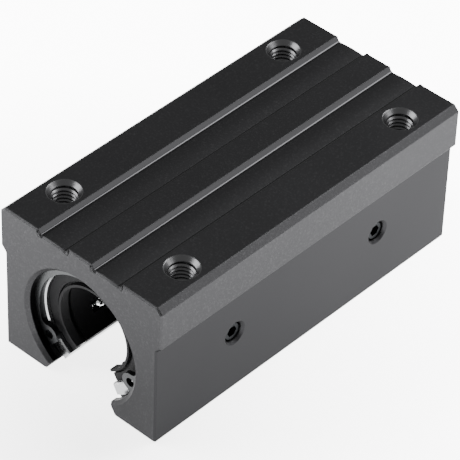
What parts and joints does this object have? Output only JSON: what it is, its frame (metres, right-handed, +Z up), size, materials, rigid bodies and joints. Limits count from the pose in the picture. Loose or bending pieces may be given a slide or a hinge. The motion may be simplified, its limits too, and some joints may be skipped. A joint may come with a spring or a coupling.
{
  "type": "linear bearing block",
  "caption": "Long open aluminium block with two open linear ball bearings on one axis, for a shaft held from below along its length; tapped mounting holes in its grooved top face.",
  "frame": {"origin": "centre of the bounding box at the underside", "axes": "+X across the block towards the set screw side, +Y along the shaft from front to rear, +Z up to the mounting face"},
  "size_m": [0.048, 0.096, 0.039],
  "materials": {
    "anodised_housing": "satin dark grey anodised",
    "bearing_steel": "ground",
    "circlip_steel": "dark phosphated spring steel",
    "screw_steel": "black oxide",
    "ball_steel": "polished",
    "cage_resin": "moulded black",
    "seal_rubber": "matt black"
  },
  "bodies": {
    "root": {"housing": "anodised_housing", "front_circlip": "circlip_steel", "front_set_screw": "screw_steel", "front_bearing_sleeve": "bearing_steel", "front_ball_cage": "cage_resin", "front_outer_seal": "seal_rubber", "front_outer_end_ring": "bearing_steel", "front_inner_seal": "seal_rubber", "front_inner_end_ring": "bearing_steel", "rear_circlip": "circlip_steel", "rear_set_screw": "screw_steel", "rear_bearing_sleeve": "bearing_steel", "rear_ball_cage": "cage_resin", "rear_outer_seal": "seal_rubber", "rear_outer_end_ring": "bearing_steel", "rear_inner_seal": "seal_rubber", "rear_inner_end_ring": "bearing_steel", "front_ball_circuit_1": "ball_steel", "front_ball_circuit_2": "ball_steel", "front_ball_circuit_3": "ball_steel", "front_ball_circuit_4": "ball_steel", "rear_ball_circuit_1": "ball_steel", "rear_ball_circuit_2": "ball_steel", "rear_ball_circuit_3": "ball_steel", "rear_ball_circuit_4": "ball_steel"}
  },
  "joints": []
}
